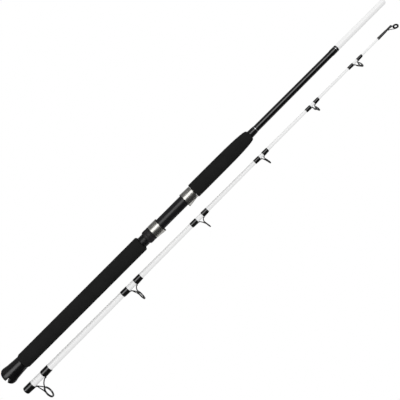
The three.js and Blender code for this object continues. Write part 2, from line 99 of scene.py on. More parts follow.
# Hoods of the reel seat: [x, radius, radius over the reel-foot pocket].
MOVABLE_HOOD = (
    (-128.8, 14.9, 14.9), (-128.2, 15.35, 15.4), (-126.9, 15.4, 15.55), (-120.5, 15.4, 16.2),
    (-113.5, 15.4, 17.0), (-108.7, 15.4, 17.4), (-106.6, 15.5, 17.6),
)
FIXED_HOOD = (
    (-31.9, 15.5, 17.8), (-30.3, 15.05, 17.6), (-24.5, 14.85, 16.9), (-17.5, 14.65, 16.0),
    (-12.5, 14.55, 15.2), (-8.5, 14.5, 14.7), (-6.7, 14.4, 14.45), (-6.3, 14.1, 14.1),
)
# The foregrip's outline between its two ends.
FOREGRIP = (
    (26.5, 16.9), (56.5, 16.85), (81.5, 16.7), (104.5, 16.5), (116.5, 16.2), (126.5, 15.85),
    (136.5, 15.35), (144.5, 14.75), (150.5, 14.1), (155.5, 13.4), (159, 12.6), (161.3, 11.6),
)

SLOT = {"width": 6.4, "depth": 10.0, "turn": 20}
POCKET_START = 15.65
POCKET_FLAT = math.radians(27)
POCKET_EDGE = math.radians(36)
BARREL_RADIUS = 12.9
BARREL_BORE = 10.4
HOOD_BORE = 13.2
HOOD_WALL = 0.8
HOOD_LIP = 0.22
LINER_INSET = 0.95
LINER_WALL = 0.65
THREAD_ROOT = 12.35
THREAD_END = -108.0
FOOT_BED = 12.4

# Each guide: lean towards the tip in degrees, reach of the front heel, the angle round the ring
# where the rear braces hold it, how far they bow outwards and the radius of the frame's wire.
GUIDES = (
    (0, 4.6, 58, -1, 1.3),
    (0, 2.8, 62, -1, 1.2),
    (8, 2.2, 72, -1, 1.1),
    (8, 1.4, 82, -1, 1.0),
    (6, 1.2, 107, 1.5, 0.95),
    (8, 1.2, 126, 0.3, 0.9),
)
RING_BAND = 0.11
RING_INSERT = 0.13
THINNEST_INSERT = 1.5
TIP_TOP = {
    "x": 543.8, "stand": 9.6, "radius": 6.3, "turn": -40, "lean": 46,
    "tube": 2.3, "end": 541.5, "wire": 0.9, "insert": 3.0,
}
WINDING = 0.6

# Longest facets along the blanks and along a winding over a guide's foot.
BLANK_STEP = 18.0
WINDING_STEP = 0.9

# Where the camera stands, from the middle of the laid-out rod and from the butt section's axis.
CAMERA_X = -9.1
CAMERA_ACROSS = -23.0


# ------------------------------------------------------------------ settings of the add-on


class RodGripSettings(bpy.types.PropertyGroup):
    foam: FloatVectorProperty(
        name="Foam", description="Colour of the foam grips", subtype="COLOR",
        size=3, min=0, max=1, default=(0.0095, 0.0095, 0.0095),
    )
    pore: FloatProperty(
        name="Pore", description="Width of the foam's cells", subtype="DISTANCE",
        unit="LENGTH", default=0.0007, min=0.0001, max=0.005, precision=5,
    )


class RodSeatSettings(bpy.types.PropertyGroup):
    steel: FloatVectorProperty(
        name="Steel", description="Colour of the stainless hoods", subtype="COLOR",
        size=3, min=0, max=1, default=(0.70, 0.69, 0.655),
    )
    thread_pitch: FloatProperty(
        name="Thread pitch", description="Distance between turns of the lock nut's thread",
        subtype="DISTANCE", unit="LENGTH", default=0.002, min=0.001, max=0.004, precision=4,
    )
    nut_ribs: IntProperty(
        name="Nut ribs", description="Finger ribs round the lock nut", default=30, min=0, max=60,
    )


class RodBlankSettings(bpy.types.PropertyGroup):
    lacquer: FloatVectorProperty(
        name="Lacquer", description="Colour of the lacquered butt blank", subtype="COLOR",
        size=3, min=0, max=1, default=(0.0035, 0.0035, 0.0038),
    )
    glass: FloatVectorProperty(
        name="Glass", description="Colour of the white glass fibre", subtype="COLOR",
        size=3, min=0, max=1, default=(0.92, 0.92, 0.92),
    )
    tape_pitch: FloatProperty(
        name="Tape pitch", description="Distance between the marks that the curing tape leaves",
        subtype="DISTANCE", unit="LENGTH", default=0.0032, min=0.001, max=0.02, precision=4,
    )


class RodGuideSettings(bpy.types.PropertyGroup):
    wire_sides: IntProperty(
        name="Wire sides", description="Sides of a guide's wires", default=14, min=6, max=32,
    )
    solder: FloatProperty(
        name="Solder", description="How much a wire widens where it is soldered",
        subtype="FACTOR", default=0.55, min=0, max=1,
    )


class RodStageSettings(bpy.types.PropertyGroup):
    camera_height: FloatProperty(
        name="Camera height", description="Height of the camera over the butt section's axis",
        subtype="DISTANCE", unit="LENGTH", default=1.177, min=0.5, max=5,
    )
    key: FloatProperty(
        name="Key", description="Brightness of the overhead soft light",
        default=2.2, min=0, max=20,
    )


# ------------------------------------------------------------------ outlines and surfaces


def radius_at(taper, x):
    """The radius of a blank at a place along X."""
    if x <= taper[0][0]:
        return taper[0][1]
    for (x0, r0), (x1, r1) in zip(taper, taper[1:]):
        if x <= x1:
            return r0 + (r1 - r0) * (x - x0) / (x1 - x0)
    return taper[-1][1]


def smoothstep(value, low, high):
    share = min(1.0, max(0.0, (value - low) / (high - low)))
    return share * share * (3 - 2 * share)


def soften(outline, bend, loop=True, steps=5):
    """The outline with its corners rounded, and a point beside each bend that keeps flats flat."""
    result = []
    count = len(outline)
    for place, corner in enumerate(outline):
        here = Vector(corner)
        if not loop and place in (0, count - 1):
            result.append(here)
            continue
        back = Vector(outline[place - 1]) - here
        ahead = Vector(outline[(place + 1) % count]) - here
        if back.angle(-ahead, 0.0) < math.radians(9):
            result.append(here)
            continue
        reach = min(bend, 0.4 * back.length, 0.4 * ahead.length)
        back, ahead = back.normalized(), ahead.normalized()
        result.append(here + back * reach * 1.22)
        for step in range(steps + 1):
            t = step / steps
            result.append(here + back * reach * (1 - t) ** 2 + ahead * reach * t ** 2)
        result.append(here + ahead * reach * 1.22)
    return result


def skin(rings, loop=False):
    """Vertices and faces of a surface through rings of points. A ring of one point is a pole."""
    vertices, starts = [], []
    for ring in rings:
        starts.append(len(vertices))
        vertices.extend(ring)
    pairs = [(place, place + 1) for place in range(len(rings) - 1)]
    if loop:
        pairs.append((len(rings) - 1, 0))
    faces = []
    for one, other in pairs:
        size_one, size_other = len(rings[one]), len(rings[other])
        for side in range(max(size_one, size_other)):
            after = side + 1
            face = (
                starts[one] + side % size_one, starts[one] + after % size_one,
                starts[other] + after % size_other, starts[other] + side % size_other,
            )
            face = tuple(dict.fromkeys(face))
            if len(face) > 2:
                faces.append(face)
    return vertices, faces


def ring_at(x, radius, axis, sides):
    """Points round an axis along X. The radius is a number, or a function of the angle from -Y."""
    if not callable(radius) and radius < 1e-6:
        return [(x, *axis)]
    points = []
    for side in range(sides):
        angle = 2 * math.pi * side / sides
        signed = angle if angle <= math.pi else angle - 2 * math.pi
        reach = radius(signed) if callable(radius) else radius
        points.append((x, axis[0] - reach * math.cos(angle), axis[1] + reach * math.sin(angle)))
    return points


def lathe(outline, axis, sides=96, loop=True):
    """A turned surface. With loop the outline closes on itself, otherwise it ends on the axis."""
    return skin([ring_at(x, radius, axis, sides) for x, radius in outline], loop)


def sleeve_outline(outer, inner):
    return [*outer, *reversed(inner)]


def blank_line(taper, rear, front, extra):
    """Points along a blank's surface between two places, each lifted by extra."""
    inside = [x for x, _ in taper if rear < x < front]
    return [(x, radius_at(taper, x) + extra) for x in (rear, *inside, front)]


def filled(outline, step):
    """The outline with points added along its straights, a step apart at most."""
    points = []
    for (x0, r0), (x1, r1) in zip(outline, outline[1:]):
        count = max(1, round((x1 - x0) / step))
        points += [
            (x0 + (x1 - x0) * at / count, r0 + (r1 - r0) * at / count) for at in range(count)
        ]
    return [*points, outline[-1]]


def linked(name, data):
    """A new object in the scene, at the origin."""
    made = bpy.data.objects.new(name, data)
    bpy.context.scene.collection.objects.link(made)
    return made


def make_object(name, vertices, faces, outwards=True):
    """An object at the origin from points in millimetres, with its faces turned outwards."""
    mesh = bpy.data.meshes.new(name)
    mesh.from_pydata([Vector(point) * MM for point in vertices], [], faces)
    if outwards:
        shape = bmesh.new()
        shape.from_mesh(mesh)
        bmesh.ops.recalc_face_normals(shape, faces=shape.faces)
        shape.to_mesh(mesh)
        shape.free()
    return linked(name, mesh)


def shade(made, sharp=40):
    made.data.shade_smooth()
    made.data.set_sharp_from_angle(angle=math.radians(sharp))


def applied(made):
    """Turns what an object's modifiers make into its plain mesh, and removes them."""
    depsgraph = bpy.context.evaluated_depsgraph_get()
    depsgraph.update()
    mesh = bpy.data.meshes.new_from_object(made.evaluated_get(depsgraph), depsgraph=depsgraph)
    mesh.name = made.name
    made.modifiers.clear()
    made.data = mesh
    return made


def merged(name, parts):
    """One object from several, each still a closed shell of its own."""
    whole = bmesh.new()
    for part in parts:
        whole.from_mesh(part.data)
        bpy.data.objects.remove(part)
    mesh = bpy.data.meshes.new(name)
    whole.to_mesh(mesh)
    whole.free()
    return linked(name, mesh)


def settle(made, material, body, node, sharp=40):
    """Gives a finished piece its material and its body, and hides the node that it stands for."""
    made.data.materials.clear()
    made.data.materials.append(material)
    shade(made, sharp)
    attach(made, body)
    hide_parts(node)
    return made


def turned_piece(node, outline, axis, material, body, bend=0.4, sides=96):
    """A hollow or solid turned piece with rounded corners in place of a node."""
    made = make_object(f"{node}_look", *lathe(soften(outline, bend), axis, sides))
    return settle(made, material, body, node)


# ------------------------------------------------------------------ node trees


class Socket:
    """An output socket of a shader or geometry tree. Python's operators on it add Math nodes."""

    def __init__(self, tree, socket):
        self.tree = tree
        self.socket = socket

    def _math(self, operation, *values):
        return self.tree.add(self.tree.math, {"operation": operation}, *values)

    def __add__(self, other):
        return self._math("ADD", self, other)

    def __sub__(self, other):
        return self._math("SUBTRACT", self, other)

    def __rsub__(self, other):
        return self._math("SUBTRACT", other, self)

    def __mul__(self, other):
        return self._math("MULTIPLY", self, other)

    def __truediv__(self, other):
        return self._math("DIVIDE", self, other)

    def __pow__(self, other):
        return self._math("POWER", self, other)

    __radd__ = __add__
    __rmul__ = __mul__

    def sin(self):
        return self._math("SINE", self)

    def above(self, edge, width):
        """0 below the edge, 1 above it, and a straight ramp of the given width between."""
        return self.tree.add(
            "ShaderNodeMapRange", {"clamp": True},
            self, edge - width / 2, edge + width / 2, 0.0, 1.0,
        )

    def angle_with(self, other):
        return self._math("ARCTAN2", self, other)


class Tree:
    """Adds nodes to a node tree: type, settings, then the values or links of its inputs."""

    math = "ShaderNodeMath"

    def __init__(self, tree):
        self.tree = tree

    def add(self, kind, settings=None, *values, out=0, **named):
        node = self.tree.nodes.new(kind)
        for key, value in (settings or {}).items():
            setattr(node, key, value)
        for place, value in [*enumerate(values), *named.items()]:
            if isinstance(place, str):
                place = place.replace("_", " ")
            self.put(node.inputs[place], value)
        return Socket(self, node.outputs[out])

    def put(self, entry, value):
        """Links a socket to an input, or sets the input's value."""
        if isinstance(value, Socket):
            self.tree.links.new(value.socket, entry)
        else:
            entry.default_value = value

    def parts(self, vector):
        """The X, Y and Z of a vector."""
        first = self.add("ShaderNodeSeparateXYZ", None, vector)
        outputs = first.socket.node.outputs
        return [Socket(self, outputs[place]) for place in range(3)]

    def mix(self, share, one, other):
        """A colour between two others."""
        node = self.tree.nodes.new("ShaderNodeMix")
        node.data_type = "RGBA"
        for name, value in (("Factor_Float", share), ("A_Color", one), ("B_Color", other)):
            entry = next(i for i in node.inputs if i.identifier == name)
            self.put(entry, (*value, 1) if isinstance(value, tuple) else value)
        return Socket(self, next(o for o in node.outputs if o.identifier == "Result_Color"))

    def noise(self, vector, scale, detail=3.0, roughness=0.5):
        return self.add(
            "ShaderNodeTexNoise", {"noise_dimensions": "3D"},
            Vector=vector, Scale=scale, Detail=detail, Roughness=roughness,
        )

    def bump(self, height, distance, strength=1.0):
        return self.add(
            "ShaderNodeBump", None, Strength=strength, Distance=distance, Height=height,
        )


class Paint(Tree):
    """A material on one Principled shader, drawn on object coordinates in metres."""

    def __init__(self, name, **constants):
        self.material = bpy.data.materials.new(name)
        self.material.use_nodes = True
        super().__init__(self.material.node_tree)
        self.shader = self.tree.nodes["Principled BSDF"]
        for key, value in constants.items():
            entry = self.shader.inputs[key.replace("_", " ")]
            entry.default_value = (*value, 1.0) if hasattr(value, "__len__") else value
        self.place = self.add("ShaderNodeTexCoord", None, out="Object")

    def feed(self, **links):
        for key, value in links.items():
            self.tree.links.new(value.socket, self.shader.inputs[key.replace("_", " ")])
        return self.material

    def round_axis(self, axis, along, around):
        """Coordinates that run along X and round an axis, for patterns on turned pieces."""
        x, y, z = self.parts(self.place)
        turn = (y - axis[0] * MM).angle_with(z - axis[1] * MM)
        return self.add("ShaderNodeCombineXYZ", None, x * along, turn * around, 0.0)


def input_socket(group, name, kind, default=None):
    socket = group.interface.new_socket(name=name, in_out="INPUT", socket_type=kind)
    if default is not None:
        socket.default_value = default
    return socket.identifier


def geometry_tree(name, inputs):
    """A new geometry tree with named inputs. Returns it, its inputs' identifiers and a Tree."""
    group = bpy.data.node_groups.new(name, "GeometryNodeTree")
    group.interface.new_socket(name="Geometry", in_out="OUTPUT", socket_type="NodeSocketGeometry")
    ids = {"Geometry": input_socket(group, "Geometry", "NodeSocketGeometry")}
    for key, (kind, default) in inputs.items():
        ids[key] = input_socket(group, key, kind, default)
    ids["Finish"] = input_socket(group, "Finish", "NodeSocketMaterial")
    tree = Tree(group)
    source = group.nodes.new("NodeGroupInput")
    given = {key: Socket(tree, source.outputs[place]) for place, key in enumerate(ids)}
    return group, ids, tree, given


def end_tree(tree, geometry, finish, body=None):
    """The last nodes of every geometry tree: real geometry, smooth, with its material."""
    if body:
        join = tree.tree.nodes.new("GeometryNodeJoinGeometry")
        for part in (body, geometry):
            tree.tree.links.new(part.socket, join.inputs[0])
        geometry = Socket(tree, join.outputs[0])
    smooth = tree.add("GeometryNodeSetShadeSmooth", None, geometry)
    real = tree.add("GeometryNodeRealizeInstances", None, smooth)
    painted = tree.add("GeometryNodeSetMaterial", None, real, Material=finish)
    output = tree.tree.nodes.new("NodeGroupOutput")
    tree.tree.links.new(painted.socket, output.inputs[0])


def run_tree(made, group, ids, **values):
    """Runs a geometry tree on an object and keeps the result as its plain mesh."""
    modifier = made.modifiers.new(group.name, "NODES")
    modifier.node_group = group
    for key, value in values.items():
        modifier[ids[key.replace("_", " ")]] = value
    return applied(made)


def wire_tree():
    """Sweeps a round wire along every chain of edges, wider at its soldered ends."""
    group, ids, tree, given = geometry_tree("Wire sweep", {
        "Sides": ("NodeSocketInt", 14),
        "Solder": ("NodeSocketFloat", 0.55),
    })
    curve = tree.add("GeometryNodeMeshToCurve", None, given["Geometry"])
    share = tree.add("GeometryNodeSplineParameter", None, out="Factor")
    thick = tree.add("GeometryNodeInputNamedAttribute", {"data_type": "FLOAT"}, "wire")
    ends = (1 - share) ** 14.0 + share ** 14.0
    section = tree.add(
        "GeometryNodeCurvePrimitiveCircle", {"mode": "RADIUS"},
        Resolution=given["Sides"], Radius=1.0,
    )
    swept = tree.add(
        "GeometryNodeCurveToMesh", None, curve, section,
        Scale=thick * (1 + ends * given["Solder"]), Fill_Caps=True,
    )
    end_tree(tree, swept, given["Finish"])
    return group, ids


def thread_tree():
    """Adds a screw thread along X to a turned body."""
    group, ids, tree, given = geometry_tree("Screw thread", {
        "Start": ("NodeSocketVector", None),
        "Length": ("NodeSocketFloat", 0.05),
        "Turns": ("NodeSocketFloat", 25.0),
        "Radius": ("NodeSocketFloat", 0.0125),
        "Ridge": ("NodeSocketFloat", 0.0005),
    })
    spiral = tree.add(
        "GeometryNodeCurveSpiral", None, 72, given["Turns"], given["Radius"], given["Radius"],
        given["Length"],
    )
    ridge = tree.add(
        "GeometryNodeCurvePrimitiveCircle", {"mode": "RADIUS"},
        Resolution=6, Radius=given["Ridge"],
    )
    swept = tree.add("GeometryNodeCurveToMesh", None, spiral, ridge, Fill_Caps=True)
    laid = tree.add(
        "GeometryNodeTransform", None, swept,
        Translation=given["Start"], Rotation=(0.0, math.pi / 2, 0.0),
    )
    end_tree(tree, laid, given["Finish"], given["Geometry"])
    return group, ids


def rib_tree():
    """Adds long rounded ribs round a turned body whose axis runs along X."""
    group, ids, tree, given = geometry_tree("Ribs", {
        "Middle": ("NodeSocketVector", None),
        "Count": ("NodeSocketInt", 30),
        "Radius": ("NodeSocketFloat", 0.015),
        "Rib": ("NodeSocketVector", None),
    })
    rib = tree.add("GeometryNodeMeshUVSphere", None, 12, 12, 1.0)
    rib = tree.add("GeometryNodeTransform", None, rib, Scale=given["Rib"])
    circle = tree.add(
        "GeometryNodeMeshCircle", {"fill_type": "NONE"}, given["Count"], given["Radius"],
    )
    facing = tree.add(
        "FunctionNodeAlignRotationToVector", {"axis": "Z"},
        Vector=tree.add("GeometryNodeInputPosition"),
    )
    placed = tree.add(
        "GeometryNodeInstanceOnPoints", None, circle, Instance=rib, Rotation=facing,
    )
    laid = tree.add(
        "GeometryNodeTransform", None, placed,
        Translation=given["Middle"], Rotation=(0.0, math.pi / 2, 0.0),
    )
    end_tree(tree, laid, given["Finish"], given["Geometry"])
    return group, ids


# ------------------------------------------------------------------ finishes


def tinted(colour, share):
    return tuple(value * share for value in colour)


def foam_finish(name, colour, pore):
    """Closed-cell foam: small cells, a faint cloudiness and no gloss."""
    paint = Paint(name, Specular_IOR_Level=0.18, IOR=1.45)
    cells = paint.add(
        "ShaderNodeTexVoronoi", {"feature": "F1"}, Vector=paint.place, Scale=1 / pore,
    )
    cloud = paint.noise(paint.place, 70.0, 4.0, 0.6)
    grain = paint.noise(paint.place, 900.0, 2.0, 0.6)
    tone = (cloud - 0.5) * 0.9 + (grain - 0.5) * 0.7 + 0.5
    height = cells * 0.7 + grain * 0.6
    return paint.feed(
        Base_Color=paint.mix(tone, tinted(colour, 0.6), tinted(colour, 1.35)),
        Roughness=0.86 + (grain - 0.5) * 0.16,
        Normal=paint.bump(height, 0.00022, 0.6),
    )


def moulded_finish(name, colour, roughness, axis, streak=0.05, **constants):
    """Moulded black plastic with a slight flow texture and rubbed patches."""
    paint = Paint(name, **constants)
    cloud = paint.noise(paint.place, 55.0, 4.0, 0.55)
    peel = paint.noise(paint.place, 650.0, 2.0, 0.5)
    lines = paint.noise(paint.round_axis(axis, 2600.0, 5.0), 1.0, 2.0, 0.6)
    return paint.feed(
        Base_Color=paint.mix(cloud.above(0.5, 0.5), colour, tinted(colour, 1.5)),
        Roughness=roughness + (cloud - 0.5) * 0.16 + (lines - 0.5) * streak,
        Normal=paint.bump(peel * 0.6 + lines * 0.4, 0.00003, 0.5),
    )


def steel_finish(name, colour, axis):
    """Stainless sheet, polished with fine turned lines, and duller where the pocket is pressed."""
    paint = Paint(name)
    lines = paint.noise(paint.round_axis(axis, 5200.0, 7.0), 1.0, 3.0, 0.65)
    smear = paint.noise(paint.place, 120.0, 3.0, 0.55)
    _, y, z = paint.parts(paint.place)
    y, z = y - axis[0] * MM, z - axis[1] * MM
    pocket = ((y * y + z * z) ** 0.5).above(POCKET_START * MM, 0.0002)
    return paint.feed(
        Base_Color=paint.mix(smear.above(0.45, 0.5), tinted(colour, 0.8), colour),
        Metallic=1 - pocket * 0.6,
        Roughness=0.36 + (lines - 0.5) * 0.16 + (smear - 0.5) * 0.1 + pocket * 0.2,
        Normal=paint.bump(lines, 0.00001, 0.3),
    )


def trim_finish(name, axis):
    """Bright aluminium trim ring, turned."""
    paint = Paint(name, Metallic=1.0)
    lines = paint.noise(paint.round_axis(axis, 6400.0, 4.0), 1.0, 2.0, 0.6)
    return paint.feed(
        Base_Color=paint.mix(lines, (0.52, 0.52, 0.54), (0.82, 0.82, 0.84)),
        Roughness=0.24 + (lines - 0.5) * 0.2,
        Normal=paint.bump(lines, 0.00003, 0.6),
    )


def lacquer_finish(name, axis, colour, glass, edge, pitch):
    """Black lacquer over the blank up to the edge, and bare white glass beyond it."""
    paint = Paint(name, Coat_Roughness=0.05, Coat_IOR=1.55, Specular_IOR_Level=0.4)
    x = paint.parts(paint.place)[0]
    bare = x.above(edge * MM, 0.0006)
    peel = paint.noise(paint.place, 420.0, 2.0, 0.5)
    tape = tape_marks(paint, axis, pitch)
    dust = paint.noise(paint.place, 240.0, 5.0, 0.7)
    black = paint.mix(dust.above(0.62, 0.3), colour, tinted(colour, 2.4))
    white = paint.mix(dust, tinted(glass, 0.94), glass)
    return paint.feed(
        Base_Color=paint.mix(bare, black, white),
        Roughness=0.16 + bare * 0.16 + (peel - 0.5) * 0.08,
        Coat_Weight=1 - bare,
        Normal=paint.bump(tape * 0.4 + peel * 0.6, 0.00001, 0.1),
    )


def tape_marks(paint, axis, pitch):
    """Shallow spiral marks that the curing tape leaves along a blank."""
    x, y, z = paint.parts(paint.place)
    turn = (y - axis[0] * MM).angle_with(z - axis[1] * MM)
    phase = x * (2 * math.pi / pitch) + turn
    return (phase.sin() * 0.5 + 0.5) ** 4.0


def glass_finish(name, axis, colour, pitch):
    """White glass fibre under a clear coat, with its spiral tape marks."""
    paint = Paint(name, Specular_IOR_Level=0.35)
    tape = tape_marks(paint, axis, pitch)
    fibre = paint.noise(paint.round_axis(axis, 60.0, 40.0), 1.0, 4.0, 0.6)
    cloud = paint.noise(paint.place, 30.0, 3.0, 0.5)
    tone = fibre * 0.35 + cloud * 0.35 + (1 - tape) * 0.3
    return paint.feed(
        Base_Color=paint.mix(tone.above(0.5, 0.6), tinted(colour, 0.965), colour),
        Roughness=0.3 + (fibre - 0.5) * 0.1 + tape * 0.04,
        Normal=paint.bump(tape, 0.00001, 0.04),
    )


def winding_finish(name, axis):
    """Black thread laid turn by turn under clear epoxy."""
    paint = Paint(name, Coat_Roughness=0.04, Coat_IOR=1.56, Coat_Weight=1.0)
    x = paint.parts(paint.place)[0]
    turns = (x * (2 * math.pi / 0.00028)).sin() * 0.5 + 0.5
    lumps = paint.noise(paint.place, 160.0, 2.0, 0.5)
    fuzz = paint.noise(paint.round_axis(axis, 3000.0, 30.0), 1.0, 2.0, 0.6)
    return paint.feed(
        Base_Color=paint.mix(turns * fuzz, (0.0008, 0.0008, 0.001), (0.007, 0.007, 0.0075)),
        Roughness=0.34 + (fuzz - 0.5) * 0.2,
        Normal=paint.bump(turns * 0.25 + lumps, 0.00005, 0.4),
    )


def frame_finish(name):
    """Black plated wire with thin bright wear."""
    paint = Paint(name, Coat_Weight=0.35, Coat_Roughness=0.12)
    wear = paint.noise(paint.place, 800.0, 4.0, 0.65)
    cloud = paint.noise(paint.place, 150.0, 2.0, 0.5)
    return paint.feed(
        Base_Color=paint.mix(wear.above(0.76, 0.1), (0.0025, 0.0025, 0.003), (0.05, 0.05, 0.053)),
        Roughness=0.26 + (cloud - 0.5) * 0.2,
        Normal=paint.bump(wear, 0.00003, 0.35),
    )


def ceramic_finish(name):
    """Polished dark ceramic ring."""
    paint = Paint(name, Coat_Weight=1.0, Coat_Roughness=0.03, Specular_IOR_Level=0.8)
    grain = paint.noise(paint.place, 2400.0, 2.0, 0.6)
    cloud = paint.noise(paint.place, 300.0, 3.0, 0.5)
    return paint.feed(
        Base_Color=paint.mix(cloud, (0.006, 0.006, 0.0075), (0.02, 0.02, 0.022)),
        Roughness=0.14 + (grain - 0.5) * 0.08,
        Normal=paint.bump(grain, 0.00001, 0.3),
    )


def cork_finish(name):
    """Composite cork of the reel seat's arbors."""
    paint = Paint(name, Roughness=0.9)
    grains = paint.add("ShaderNodeTexVoronoi", {"feature": "F1"}, Vector=paint.place, Scale=700.0)
    cloud = paint.noise(paint.place, 500.0, 3.0, 0.6)
    return paint.feed(
        Base_Color=paint.mix(grains * 0.6 + cloud * 0.4, (0.56, 0.42, 0.27), (0.24, 0.15, 0.08)),
        Normal=paint.bump(grains, 0.0002, 0.7),
    )


# ------------------------------------------------------------------ pieces


class ROD_OT_butt_cap(bpy.types.Operator):
    """Builds the notched cap at the butt end"""

    bl_idname = "rod.butt_cap"
    bl_label = "Butt cap"

    def execute(self, context):
        rear, front, full = turned_size("gimbal_cap")
        socket, floor = 9.7, rear + 13.8
        outline = [
            (rear, 0), (rear, 16.6), (rear + 1.4, 17.9), (rear + 3.2, 18.8), (rear + 6.0, full),
            (rear + 9.6, full), (rear + 10.5, 18.75), (rear + 14.0, 18.5), (rear + 15.5, 17.8),
            (rear + 24, 17.1), (rear + 33, 16.3), (rear + 41, 15.9), (rear + 43.4, 15.9),
            (rear + 44.2, 15.5), (front - 1.4, 15.5), (front, 15.1), (front, socket),
            (floor, socket), (floor, 0),
        ]
        outline = soften(outline, 0.7, loop=False)
        cap = make_object("gimbal_cap_look", *lathe(outline, BUTT_AXIS, 144, loop=False))
        for quarter in (0, 90):
            self.cut_slot(cap, rear, full + 3, math.radians(SLOT["turn"] + quarter))
        bevel = cap.modifiers.new("Edges", "BEVEL")
        bevel.width, bevel.segments = 0.45 * MM, 3
        bevel.limit_method, bevel.angle_limit = "ANGLE", math.radians(42)
        applied(cap)
        finish = moulded_finish(
            "Gloss black cap", (0.003, 0.003, 0.0036), 0.27, BUTT_AXIS, IOR=1.6,
        )
        settle(cap, finish, "butt_section", "gimbal_cap", 32)
        return {"FINISHED"}

    @staticmethod
    def cut_slot(cap, rear, reach, turn):
        """Cuts one slot of the cross, turned about the axis."""
        half, floor = SLOT["width"] / 2, rear + SLOT["depth"]
        sides = [(rear - 2, -half), (rear - 2, half), (floor, half), (floor, -half)]
        points = [(x, across, -reach) for x, across in sides]
        points += [(x, across, reach) for x, across in sides]
        cutter = make_object("slot", points, [
            (0, 1, 2, 3), (7, 6, 5, 4), (0, 4, 5, 1), (1, 5, 6, 2), (2, 6, 7, 3), (3, 7, 4, 0),
        ])
        middle = Vector((0, *BUTT_AXIS)) * MM
        cutter.data.transform(Matrix.Translation(middle) @ Matrix.Rotation(turn, 4, "X"))
        boolean = cap.modifiers.new("Slot", "BOOLEAN")
        boolean.operation, boolean.solver, boolean.object = "DIFFERENCE", "EXACT", cutter
        applied(cap)
        bpy.data.objects.remove(cutter)


class ROD_OT_grips(bpy.types.Operator):
    """Builds the two foam grips"""

    bl_idname = "rod.grips"
    bl_label = "Foam grips"

    def execute(self, context):
        settings = context.scene.rod_grips
        finish = foam_finish("Black foam", tuple(settings.foam), settings.pore)
        rear, front, full = turned_size("rear_grip")
        self.grip("rear_grip", [
            (rear, full - 2.2), (rear + 0.7, full - 0.9), (rear + 2.6, full),
            *self.worn(rear, front, full),
            (front - 3.0, full), (front - 0.9, full - 1.0), (front, full - 2.8),
        ], finish)
        rear, front, _ = turned_size("foregrip")
        self.grip("foregrip", [
            (rear, 15.0), (rear + 0.6, 16.2), (rear + 2.4, 16.85), *FOREGRIP, (front, 10.2),
        ], finish)
        return {"FINISHED"}

    @staticmethod
    def worn(rear, front, full, count=24):
        """Points along a straight grip, where hands have worn the foam by hairs."""
        points = []
        for step in range(1, count):
            x = rear + (front - rear) * step / count
            if rear + 4 < x < front - 4:
                points.append((x, full - 0.04 * (1 + math.sin(step * 2.4))))
        return points

    @staticmethod
    def grip(node, outer, finish):
        inner = blank_line(BUTT_TAPER, outer[0][0], outer[-1][0], 0.3)
        rings = [ring_at(x, radius, BUTT_AXIS, 112) for x, radius in sleeve_outline(outer, inner)]
        made = make_object(f"{node}_look", *skin(rings, loop=True))
        settle(made, finish, "butt_section", node, 60)


class ROD_OT_seat(bpy.types.Operator):
    """Builds the reel seat's barrel with its screw thread, and finishes the arbors"""

    bl_idname = "rod.seat"
    bl_label = "Reel seat barrel"

    def execute(self, context):
        pitch = context.scene.rod_seat.thread_pitch / MM
        rear, front, _ = turned_size("seat_barrel")
        outer = [
            (rear, 12.2), (rear + 0.5, THREAD_ROOT), (THREAD_END, THREAD_ROOT),
            (THREAD_END + 0.8, BARREL_RADIUS), (front, BARREL_RADIUS),
        ]
        inner = [(rear, BARREL_BORE), (front, BARREL_BORE)]
        outline = soften(sleeve_outline(outer, inner), 0.3)
        rings = [ring_at(x, self.bedded(radius), BUTT_AXIS, 120) for x, radius in outline]
        barrel = make_object("seat_barrel_look", *skin(rings, loop=True))
        finish = moulded_finish(
            "Satin black seat", (0.0055, 0.0055, 0.007), 0.34, BUTT_AXIS, Specular_IOR_Level=0.55,
        )
        length = THREAD_END - rear - 1.2
        run_tree(
            barrel, *thread_tree(), Start=(Vector((rear + 0.6, *BUTT_AXIS)) * MM)[:],
            Length=length * MM, Turns=length / pitch, Radius=THREAD_ROOT * MM,
            Ridge=(BARREL_RADIUS - THREAD_ROOT) * MM, Finish=finish,
        )
        settle(barrel, finish, "butt_section", "seat_barrel")
        cork = cork_finish("Cork arbor")
        for name in ("rear", "middle", "front"):
            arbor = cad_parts[f"seat_arbor_{name}"]
            arbor.data.materials.clear()
            arbor.data.materials.append(cork)
        return {"FINISHED"}

    @staticmethod
    def bedded(radius):
        """The barrel's section, with the flat bed for the reel's foot on its -Y side."""
        def reach(angle):
            towards = math.cos(angle)
            return min(radius, FOOT_BED / towards) if towards > 0.5 else radius
        return reach


